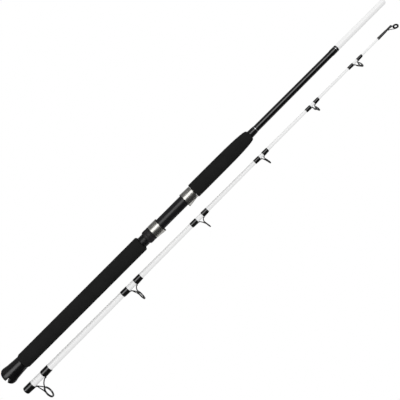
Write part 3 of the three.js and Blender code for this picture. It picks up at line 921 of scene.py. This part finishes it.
class ROD_OT_lock_nut(bpy.types.Operator):
    """Builds the ribbed lock nut and the slip washer in front of it"""

    bl_idname = "rod.lock_nut"
    bl_label = "Lock nut"

    def execute(self, context):
        rear, front, full = turned_size("lock_nut")
        body = full - 0.4
        outline = [
            (rear, full - 1.9), (rear + 1.6, body), (front - 3.4, body), (front - 3.1, full),
            (front - 2.4, full), (front - 2.2, full - 0.55), (front - 1.5, full - 0.55),
            (front - 1.3, full), (front, full), (front, HOOD_BORE), (rear + 0.8, HOOD_BORE),
            (rear, HOOD_BORE + 0.6),
        ]
        nut = make_object("lock_nut_look", *lathe(soften(outline, 0.3), BUTT_AXIS, 120))
        finish = moulded_finish(
            "Satin nut", (0.013, 0.0115, 0.0135), 0.45, BUTT_AXIS, Specular_IOR_Level=0.28,
        )
        rib_length = (front - rear) - 6.4
        middle = Vector((rear + 1.9 + rib_length / 2, *BUTT_AXIS)) * MM
        run_tree(
            nut, *rib_tree(), Middle=middle[:], Count=context.scene.rod_seat.nut_ribs,
            Radius=(body - 0.25) * MM, Rib=(0.62 * MM, rib_length / 2 * MM, 0.62 * MM),
            Finish=finish,
        )
        settle(nut, finish, "lock_nut", "lock_nut")
        rear, front, full = turned_size("slip_washer")
        turned_piece("slip_washer", [
            (rear, full), (front, full), (front, HOOD_BORE), (rear, HOOD_BORE),
        ], BUTT_AXIS, nylon(), "movable_hood", 0.25)
        return {"FINISHED"}


def nylon():
    """The one finish of all black nylon pieces."""
    made = bpy.data.materials.get("Black nylon")
    if made:
        return made
    return moulded_finish("Black nylon", (0.006, 0.006, 0.0065), 0.5, BUTT_AXIS)


def pocketed(round_radius, pocket_radius):
    """A hood's section: round, with the reel-foot pocket swelling on its -Y side."""
    def reach(angle):
        share = 1 - smoothstep(abs(angle), POCKET_FLAT, POCKET_EDGE)
        return round_radius + (pocket_radius - round_radius) * share
    return reach


class ROD_OT_hoods(bpy.types.Operator):
    """Builds the two stainless hoods and their nylon liners"""

    bl_idname = "rod.hoods"
    bl_label = "Hoods"

    def execute(self, context):
        colour = tuple(context.scene.rod_seat.steel)
        steel = steel_finish("Polished stainless", colour, BUTT_AXIS)
        front = corners("movable_hood_liner")[1].x
        rear = corners("fixed_hood_liner")[0].x
        movable, fixed = ("movable_hood", "movable_hood", 1), ("fixed_hood", "butt_section", -1)
        self.hood(*movable, MOVABLE_HOOD, steel)
        self.hood(*fixed, FIXED_HOOD, steel)
        self.liner(*movable, MOVABLE_HOOD[1:], (front - 1.4, front), 17.6)
        self.liner(*fixed, FIXED_HOOD[:4], (rear + 1.1, rear), 17.9)
        return {"FINISHED"}

    @staticmethod
    def fine(stations, step=0.6):
        """The stations with smooth ones added between them."""
        result = []
        for one, other in zip(stations, stations[1:]):
            count = max(1, round((other[0] - one[0]) / step))
            for at in range(count):
                t = at / count
                share = (t + t * t * (3 - 2 * t)) / 2
                result.append(tuple(a + (b - a) * share for a, b in zip(one, other)))
        result.append(stations[-1])
        return result

    def hood(self, node, body, mouth, stations, finish):
        wall, lip = HOOD_WALL, HOOD_LIP
        outer = self.fine(stations)
        inner = [(x, round_ - wall, pocket - wall) for x, round_, pocket in outer]
        lip_x, lip_round, lip_pocket = outer[-1] if mouth > 0 else outer[0]
        lips = [
            (lip_x - mouth * lip, lip_round, lip_pocket),
            (lip_x, lip_round - lip, lip_pocket - lip),
            (lip_x, lip_round - wall + lip, lip_pocket - wall + lip),
            (lip_x - mouth * lip, lip_round - wall, lip_pocket - wall),
        ]
        if mouth > 0:
            loop = [*outer[:-1], *lips, *reversed(inner[:-1])]
        else:
            loop = [*reversed(lips[:2]), *outer[1:], *reversed(inner[1:]), *reversed(lips[2:])]
        made = make_object(f"{node}_look", *self.pocketed_skin(loop))
        settle(made, finish, body, node, 50)

    @staticmethod
    def pocketed_skin(stations):
        """A closed surface through sections with a pocket, at [x, radius, pocket radius]."""
        return skin([
            ring_at(x, pocketed(round_, pocket), BUTT_AXIS, 144) for x, round_, pocket in stations
        ], loop=True)

    def liner(self, node, body, hand, stations, lip, pocket_flange):
        """The liner inside a hood, with a flange that shows in front of the hood's mouth."""
        inset, wall, edge = LINER_INSET, LINER_WALL, 0.3
        lining = stations[::hand]
        flange = (15.55, pocket_flange)
        room = [max(HOOD_BORE, pocket - inset - wall) for _, _, pocket in lining]
        outer = [(x, round_ - inset, pocket - inset) for x, round_, pocket in lining]
        outer += [
            (lip[0] - hand * 0.05, flange[0] - inset, flange[1] - inset),
            (lip[0], flange[0] - edge, flange[1] - edge),
            (lip[0] + hand * edge, flange[0], flange[1]),
            (lip[1] - hand * edge, flange[0], flange[1]),
            (lip[1], flange[0] - edge, flange[1] - edge),
        ]
        inner = [(x, HOOD_BORE, space) for (x, _, _), space in zip(lining, room)]
        inner.append((lip[1], HOOD_BORE + 0.1, room[-1]))
        made = make_object(f"{node}_liner_look", *self.pocketed_skin([*outer, *reversed(inner)]))
        settle(made, nylon(), body, f"{node}_liner")


class ROD_OT_blanks(bpy.types.Operator):
    """Builds the lacquered butt blank and the white tip blank"""

    bl_idname = "rod.blanks"
    bl_label = "Blanks"

    def execute(self, context):
        settings = context.scene.rod_blanks
        lacquer, glass = tuple(settings.lacquer), tuple(settings.glass)
        end = corners("butt_blank")[1].x
        edge = corners("ferrule_end_winding")[1].x - 1.0
        nose = [(end - 2.2, 6.25), (end - 1.0, 5.9), (end - 0.3, 5.2), (end, 4.3), (end, 0)]
        bore = [(x, radius - BLANK_WALL) for x, radius in BUTT_TAPER[:-1]]
        outline = [
            (end - 6, 0), (end - 6, 4.9), *reversed(bore), *filled(BUTT_TAPER, BLANK_STEP), *nose,
        ]
        blank = make_object("butt_blank_look", *lathe(outline, BUTT_AXIS, 64, loop=False))
        pitch = settings.tape_pitch
        finish = lacquer_finish("Black lacquer", BUTT_AXIS, lacquer, glass, edge, pitch)
        settle(blank, finish, "butt_section", "butt_blank")
        mouth = TIP_TAPER[0][0]
        socket = [
            (296.5, 0), (146.5, 2.4), (mouth + 148, 5.4), (mouth + 146, 6.5), (mouth + 1, 6.75),
            (mouth + 0.3, 6.85), (mouth, 7.1), (mouth, 7.5), (mouth + 0.3, 7.72),
        ]
        taper = filled(((mouth + 1.0, 7.8), *TIP_TAPER[1:]), BLANK_STEP)
        tip = make_object("tip_blank_look", *lathe(
            [*socket, *taper, (TIP_TAPER[-1][0], 0)], TIP_AXIS, 64, loop=False,
        ))
        finish = glass_finish("White glass", TIP_AXIS, glass, pitch)
        settle(tip, finish, "tip_section", "tip_blank")
        return {"FINISHED"}


def winding_outline(taper, rear, front, height):
    """A winding under epoxy: full in its middle and thinning to a feather at both ends."""
    slope = min(1.6, (front - rear) * 0.3)
    rise = [
        (slope * share, 0.25 + 0.75 * math.sin(share * math.pi / 2))
        for share in (0.0, 0.18, 0.4, 0.7, 1.0)
    ]
    places = [(rear + run, lift) for run, lift in rise]
    places += [(front - run, lift) for run, lift in reversed(rise)]
    outer = [(x, radius_at(taper, x) + height * lift) for x, lift in places]
    return sleeve_outline(outer, blank_line(taper, rear, front, FIT * 0.4))


class ROD_OT_trim(bpy.types.Operator):
    """Builds the winding check, the trim rings and the windings at the ferrule"""

    bl_idname = "rod.trim"
    bl_label = "Trim and ferrule"

    def execute(self, context):
        rear, front, _ = turned_size("winding_check")
        check = moulded_finish(
            "Gloss black collar", (0.004, 0.004, 0.0045), 0.2, BUTT_AXIS, IOR=1.7,
        )
        outer = [
            (rear, 8.5), (rear + 0.8, 8.7), (rear + 3.4, 8.7), (rear + 3.8, 8.35),
            (rear + 4.6, 8.35), (rear + 5.0, 8.6), (front - 5, 8.3), (front - 1.6, 8.15),
            (front, 7.85),
        ]
        outline = sleeve_outline(outer, blank_line(BUTT_TAPER, rear, front, FIT))
        turned_piece(
            "winding_check", outline, BUTT_AXIS, check, "butt_section", 0.3,
        )
        bright = trim_finish("Bright trim", BUTT_AXIS)
        for node in ("fore_trim_ring", "ferrule_trim_ring"):
            rear, front, full = turned_size(node)
            outline = [
                (rear, full - 0.25), (rear + 0.35, full), (front - 0.35, full),
                (front, full - 0.25), (front, full - 0.5), (rear, full - 0.5),
            ]
            turned_piece(node, outline, BUTT_AXIS, bright, "butt_section", 0.15)
        thread = winding_finish("Ferrule winding", BUTT_AXIS)
        for node, height in (("ferrule_winding", 0.55), ("ferrule_end_winding", 0.5)):
            rear, front, _ = turned_size(node)
            outline = winding_outline(BUTT_TAPER, rear, front, height)
            made = make_object(f"{node}_look", *lathe(outline, BUTT_AXIS, 96))
            settle(made, thread, "butt_section", node)
        return {"FINISHED"}


class Foot:
    """One foot of a guide: a flat tongue under a winding, thicker towards its heel."""

    def __init__(self, rear, front, ring_x, wire):
        self.towards = 1 if rear < ring_x else -1
        far, self.near = (rear, front) if self.towards > 0 else (front, rear)
        self.tip = far + 2.5 * self.towards
        self.heel = self.near + 1.0 * self.towards
        self.seat = radius_at(TIP_TAPER, rear) + FIT
        self.width, self.thin, self.thick = 2.4 * wire, 0.4 * wire, 1.1 * wire

    def lift_at(self, x):
        """The foot's height over the blank at a place along X."""
        share = (x - self.tip) / (self.near - self.tip)
        return self.thin + (self.thick - self.thin) * min(1.0, max(-0.6, share))

    def shape(self):
        """The tongue: rounded on top, and narrowing at its tip and where it meets the wire."""
        rings = []
        steps = 14
        for step in range(steps + 1):
            share = step / steps
            x = self.tip + (self.heel + 0.6 * self.towards - self.tip) * share
            half = self.width / 2 * (0.45 + 0.55 * math.sin(min(1, share * 3) * math.pi / 2))
            half *= 1 - 0.3 * smoothstep(share, 0.8, 1.0)
            top = max(0.15, self.lift_at(x))
            ring = []
            for side in range(20):
                angle = 2 * math.pi * side / 20
                across = half * math.copysign(abs(math.cos(angle)) ** 0.6, math.cos(angle))
                up = math.copysign(abs(math.sin(angle)) ** 0.7, math.sin(angle))
                ring.append((
                    x, TIP_AXIS[0] - self.seat - top * (0.5 + 0.5 * up), TIP_AXIS[1] + across,
                ))
            rings.append(ring)
        ends = [[tuple(sum(axis) / 20 for axis in zip(*ring))] for ring in (rings[0], rings[-1])]
        return make_object("foot", *skin([ends[0], *rings, ends[1]]))

    def winding(self, name, rear, front):
        """Thread and epoxy over the foot: it swells over the tongue and feathers at its ends."""
        base = winding_outline(TIP_TAPER, rear, front, WINDING)
        foot_angle = math.atan2(self.width / 2, self.seat)
        rings = []
        for x, radius in filled(base[:10], WINDING_STEP):
            end = min(x - rear, front - x)
            fade = smoothstep(end, -0.4, 1.6)
            swell = max(0.0, self.lift_at(x)) * 0.92 * fade
            rings.append(ring_at(x, self.swollen(radius, swell, foot_angle), TIP_AXIS, 88))
        for x, radius in blank_line(TIP_TAPER, rear, front, FIT * 0.4)[::-1]:
            rings.append(ring_at(x, radius, TIP_AXIS, 88))
        return make_object(name, *skin(rings, loop=True))

    @staticmethod
    def swollen(radius, swell, foot_angle):
        def reach(angle):
            over = 1 - smoothstep(abs(angle), foot_angle * 0.7, foot_angle * 3.4)
            return radius + (swell + 0.1) * over
        return reach


def smooth_path(points, steps=9):
    """A smooth chain through the points."""
    spots = [Vector(point) for point in points]
    spots = [2 * spots[0] - spots[1], *spots, 2 * spots[-1] - spots[-2]]
    chain = []
    for a, b, c, d in zip(spots, spots[1:], spots[2:], spots[3:]):
        for step in range(steps):
            t = step / steps
            chain.append(
                0.5 * (2 * b + (c - a) * t + (2 * a - 5 * b + 4 * c - d) * t ** 2
                       + (3 * b - a - 3 * c + d) * t ** 3)
            )
    chain.append(spots[-2])
    return chain


def wires(name, paths, tree, settings, finish):
    """Sweeps round wires along paths, each a list of points and a radius, in millimetres."""
    vertices, edges, thick = [], [], []
    for points, radius in paths:
        start = len(vertices)
        chain = smooth_path(points)
        vertices += [point * MM for point in chain]
        thick += [radius * MM] * len(chain)
        edges += [(start + at, start + at + 1) for at in range(len(chain) - 1)]
    mesh = bpy.data.meshes.new(name)
    mesh.from_pydata(vertices, edges, [])
    mesh.attributes.new("wire", "FLOAT", "POINT").data.foreach_set("value", thick)
    return run_tree(
        linked(name, mesh), *tree,
        Sides=settings.wire_sides, Solder=settings.solder, Finish=finish,
    )


def ring_pieces(name, radius, wire, place, lining=None):
    """The band and the ceramic insert of one ring, made about X and moved into place."""
    outer, inner = radius, radius * (1 - RING_BAND)
    half = 1.1 * wire
    band = make_object(f"{name}_band", *lathe(
        soften([(-half, inner), (-half, outer), (half, outer), (half, inner)], 0.42), (0, 0), 96,
    ))
    reach = inner - FIT
    hole = reach - (lining or max(THINNEST_INSERT, radius * RING_INSERT))
    depth = half + 0.2
    swell = (reach - hole) / 2
    line = [(-depth, reach)]
    for step in range(13):
        angle = math.pi * step / 12
        line.append((-depth * math.cos(angle), hole + swell - swell * math.sin(angle)))
    line.append((depth, reach))
    insert = make_object(f"{name}_insert", *lathe(line, (0, 0), 96))
    for made in (band, insert):
        made.data.transform(place)
    return band, insert


def millimetre_place(matrix):
    """A placement given in millimetres, for meshes in metres."""
    placed = matrix.copy()
    placed.translation = matrix.translation * MM
    return placed


class ROD_OT_guides(bpy.types.Operator):
    """Builds the six line guides with their rings and windings"""

    bl_idname = "rod.guides"
    bl_label = "Line guides"

    def execute(self, context):
        settings = context.scene.rod_guides
        tree = wire_tree()
        black = frame_finish("Black frame")
        ceramic = ceramic_finish("Dark ceramic")
        thread = winding_finish("Guide winding", TIP_AXIS)
        for number, facts in enumerate(GUIDES, 1):
            self.guide(f"guide_{number}", facts, tree, settings, (black, ceramic, thread))
        return {"FINISHED"}

    @staticmethod
    def guide(name, facts, tree, settings, finishes):
        lean, heel, hold, bow, wire = facts
        black, ceramic, thread = finishes
        lean = math.radians(lean)
        spans = {}
        for end in ("rear", "front"):
            spans[end] = turned_size(f"{name}_{end}_winding")[:2]
        low, high = corners(f"{name}_ring")
        centre = (low + high) / 2
        insert_radius = (high.z - low.z) / 2
        radius = (insert_radius + FIT) / (1 - RING_BAND)
        place = Matrix.Translation(centre) @ Matrix.Rotation(lean, 4, "Z")
        band, insert = ring_pieces(name, radius, wire, millimetre_place(place))
        feet = {end: Foot(*spans[end], centre.x, wire) for end in spans}
        middle = radius * (1 - RING_BAND / 2)

        def on_ring(reach, side=0.0):
            return place @ Vector((0, reach, side))

        front, rear = feet["front"], feet["rear"]
        y, z = TIP_AXIS
        seat = y - front.seat - wire
        foot_of_ring = on_ring(middle)
        bend = front.heel - heel
        rise = seat - foot_of_ring.y
        post = [
            (front.heel + 0.7, seat, z), (bend, seat - 0.08 * rise, z),
            (foot_of_ring.x + 0.4 * (bend - foot_of_ring.x), seat - 0.5 * rise, z),
            (foot_of_ring.x + 0.2, foot_of_ring.y, z),
        ]
        thin = 0.85 * wire
        seat = y - rear.seat - thin
        start = rear.heel - 0.7
        angle = math.radians(hold)
        bow *= math.sqrt(0.5)
        paths = [(post, wire)]
        for hand in (-1, 1):
            joint = on_ring(middle * math.cos(angle), hand * middle * math.sin(angle))
            side = joint.z - z
            paths.append(([
                (start, seat, z), (start + 1.8, seat - 0.3, z + hand * 0.4),
                ((start + centre.x) / 2 - bow, (joint.y + seat) / 2 - bow, z + side * 0.55),
                (joint.x - 0.2, joint.y, joint.z),
            ], thin))
        swept = wires(f"{name}_wires", paths, tree, settings, black)
        tongues = [foot.shape() for foot in feet.values()]
        made = merged(f"{name}_frame_look", [band, swept, *tongues])
        settle(made, black, "tip_section", f"{name}_frame")
        insert.name = f"{name}_ring_look"
        settle(insert, ceramic, "tip_section", f"{name}_ring")
        for end, foot in feet.items():
            node = f"{name}_{end}_winding"
            winding = foot.winding(f"{node}_look", *spans[end])
            settle(winding, thread, "tip_section", node)


class ROD_OT_tip_top(bpy.types.Operator):
    """Builds the tip-top with its ring and winding"""

    bl_idname = "rod.tip_top"
    bl_label = "Tip-top"

    def execute(self, context):
        settings = context.scene.rod_guides
        black = bpy.data.materials["Black frame"]
        ceramic = bpy.data.materials["Dark ceramic"]
        thread = bpy.data.materials["Guide winding"]
        y, z = TIP_AXIS
        winding_rear, winding_front, _ = turned_size("tip_top_winding")
        rear, end = winding_front + 0.3, TIP_TOP["end"]
        tube, wire, radius = TIP_TOP["tube"], TIP_TOP["wire"], TIP_TOP["radius"]
        bore = TIP_TAPER[-1][1] + FIT
        floor = TIP_TAPER[-1][0] + 0.3
        outline = [
            (floor, 0), (floor, bore), (rear + 0.3, bore + 0.05), (rear, bore + 0.2),
            (rear, tube - 0.1), (rear + 0.3, tube), (end - 1.2, tube), (end - 0.4, tube - 0.5),
            (end, tube - 1.2), (end, 0),
        ]
        shell = make_object("tip_tube", *lathe(
            soften(outline, 0.25, loop=False), TIP_AXIS, 48, loop=False,
        ))
        x, stand, lining = TIP_TOP["x"], TIP_TOP["stand"], TIP_TOP["insert"]
        turn, lean = (math.radians(TIP_TOP[key]) for key in ("turn", "lean"))
        turn = Matrix.Translation((0, y, z)) @ Matrix.Rotation(turn, 4, "X")
        place = turn @ Matrix.Translation((x, -stand, 0)) @ Matrix.Rotation(lean, 4, "Z")
        band, insert = ring_pieces("tip_top", radius, wire, millimetre_place(place), lining)
        middle = radius * (1 - RING_BAND / 2)
        paths = []
        for hand in (-1, 1):
            points = [
                (rear + 1.6, -tube + 0.2, hand * 0.6), (rear + 6.0, -tube - 1.6, hand * 2.4),
                (x - 2.6, -stand + 1.2, hand * middle * 0.93), (x, -stand, hand * middle),
            ]
            paths.append(([turn @ Vector(point) for point in points], 0.75))
        neck = [
            (end - 1.6, -tube + 0.9, 0), (end - 0.4, -tube - 0.6, 0),
            (x - 3.4, -stand + middle - 1.4, 0),
        ]
        paths.append(([turn @ Vector(point) for point in neck], 0.78))
        swept = wires("tip_top_wires", paths, wire_tree(), settings, black)
        made = merged("tip_top_frame_look", [shell, band, swept])
        settle(made, black, "tip_section", "tip_top_frame")
        insert.name = "tip_top_ring_look"
        settle(insert, ceramic, "tip_section", "tip_top_ring")
        outline = winding_outline(TIP_TAPER, winding_rear, winding_front, 0.9)
        winding = make_object("tip_top_winding_look", *lathe(outline, TIP_AXIS, 64))
        settle(winding, thread, "tip_section", "tip_top_winding")
        return {"FINISHED"}


# ------------------------------------------------------------------ studio


class ROD_OT_stage(bpy.types.Operator):
    """Builds the pale floor, the soft lights and the camera"""

    bl_idname = "rod.stage"
    bl_label = "Studio"

    def execute(self, context):
        settings = context.scene.rod_stage
        scene = context.scene
        self.floor()
        self.surroundings(scene)
        self.softbox("Key", (0, 0.62, 1.6), (3.6, 1.15), settings.key)
        self.softbox("Side", (0, 1.9, 0.3), (3.4, 0.7), 0.16)
        y, z = (value * MM for value in BUTT_AXIS)
        lens = bpy.data.cameras.new("Camera")
        lens.lens, lens.sensor_width = 50, 36
        lens.clip_start, lens.clip_end = 0.01, 50
        camera = linked("Camera", lens)
        camera.location = (CAMERA_X * MM, y + CAMERA_ACROSS * MM, z + settings.camera_height)
        camera.rotation_euler = (0, 0, math.radians(-45))
        scene.camera = camera
        scene.view_settings.view_transform = "Standard"
        return {"FINISHED"}

    @staticmethod
    def floor():
        """A wide pale floor that glows evenly, so the rod stands clear on it."""
        size = 60000
        made = make_object("floor", [
            (-size, -size, -3), (size, -size, -3), (size, size, -3), (-size, size, -3),
        ], [(0, 1, 2, 3)], outwards=False)
        material = bpy.data.materials.new("Pale floor")
        material.use_nodes = True
        tree = Tree(material.node_tree)
        material.node_tree.nodes.remove(material.node_tree.nodes["Principled BSDF"])
        glow = tree.add("ShaderNodeEmission", None, (1, 1, 1, 1), 1.0)
        output = material.node_tree.nodes["Material Output"]
        material.node_tree.links.new(glow.socket, output.inputs["Surface"])
        made.data.materials.append(material)
        made.visible_diffuse = made.visible_glossy = made.visible_shadow = False
        made.visible_transmission = False

    @staticmethod
    def surroundings(scene):
        """A dim room that is lighter towards +Y and below, and white where the camera looks."""
        world = scene.world or bpy.data.worlds.new("World")
        scene.world = world
        world.use_nodes = True
        world.node_tree.nodes.clear()
        tree = Tree(world.node_tree)
        where = tree.add("ShaderNodeTexCoord", None, out="Generated")
        _, y, z = tree.parts(where)
        mirrored = 0.035 + y.above(0.75, 0.7) * 0.08 + (0 - z).above(0.55, 0.6) * 0.32
        soaked = 0.72 + y.above(0.0, 2.0) * 0.40 + z.above(0.0, 2.0) * 0.06
        seen = tree.add("ShaderNodeLightPath", None, out="Is Camera Ray")
        matte = tree.add("ShaderNodeLightPath", None, out="Is Diffuse Ray")
        level = mirrored * (1 - seen) * (1 - matte) + soaked * matte + seen
        sky = tree.add("ShaderNodeBackground", None, (1, 1, 1, 1), level)
        output = world.node_tree.nodes.new("ShaderNodeOutputWorld")
        world.node_tree.links.new(sky.socket, output.inputs[0])

    @staticmethod
    def softbox(name, place, size, radiance):
        """A rectangular light of even brightness that mirrors in the gloss of what it lights."""
        light = bpy.data.lights.new(name, "AREA")
        light.shape, light.size, light.size_y = "RECTANGLE", size[0], size[1]
        light.energy = radiance * math.pi * size[0] * size[1]
        made = linked(name, light)
        made.location = place
        made.rotation_euler = (math.atan2(-place[1], place[2]), 0, 0)
        made.visible_camera = made.visible_diffuse = False


class ROD_PT_panel(bpy.types.Panel):
    """Lists the rod's builders in the sidebar"""

    bl_idname = "ROD_PT_panel"
    bl_label = "Two-Piece Rod"
    bl_space_type = "VIEW_3D"
    bl_region_type = "UI"
    bl_category = "Rod"

    def draw(self, context):
        layout = self.layout
        scene = context.scene
        for name, group in SETTINGS.items():
            box = layout.box()
            for key in group.__annotations__:
                box.prop(getattr(scene, name), key)
        for operator in OPERATORS:
            layout.operator(operator.bl_idname)


SETTINGS = {
    "rod_grips": RodGripSettings,
    "rod_seat": RodSeatSettings,
    "rod_blanks": RodBlankSettings,
    "rod_guides": RodGuideSettings,
    "rod_stage": RodStageSettings,
}
OPERATORS = (
    ROD_OT_butt_cap, ROD_OT_grips, ROD_OT_seat, ROD_OT_lock_nut, ROD_OT_hoods, ROD_OT_blanks,
    ROD_OT_trim, ROD_OT_guides, ROD_OT_tip_top, ROD_OT_stage,
)
CLASSES = (*SETTINGS.values(), *OPERATORS, ROD_PT_panel)


def register():
    for item in CLASSES:
        bpy.utils.register_class(item)
    for name, group in SETTINGS.items():
        setattr(bpy.types.Scene, name, PointerProperty(type=group))


def unregister():
    for name in SETTINGS:
        delattr(bpy.types.Scene, name)
    for item in reversed(CLASSES):
        bpy.utils.unregister_class(item)


def main():
    register()
    for operator in OPERATORS:
        group, name = operator.bl_idname.split(".")
        getattr(getattr(bpy.ops, group), name)()


if __name__ == "__main__":
    main()
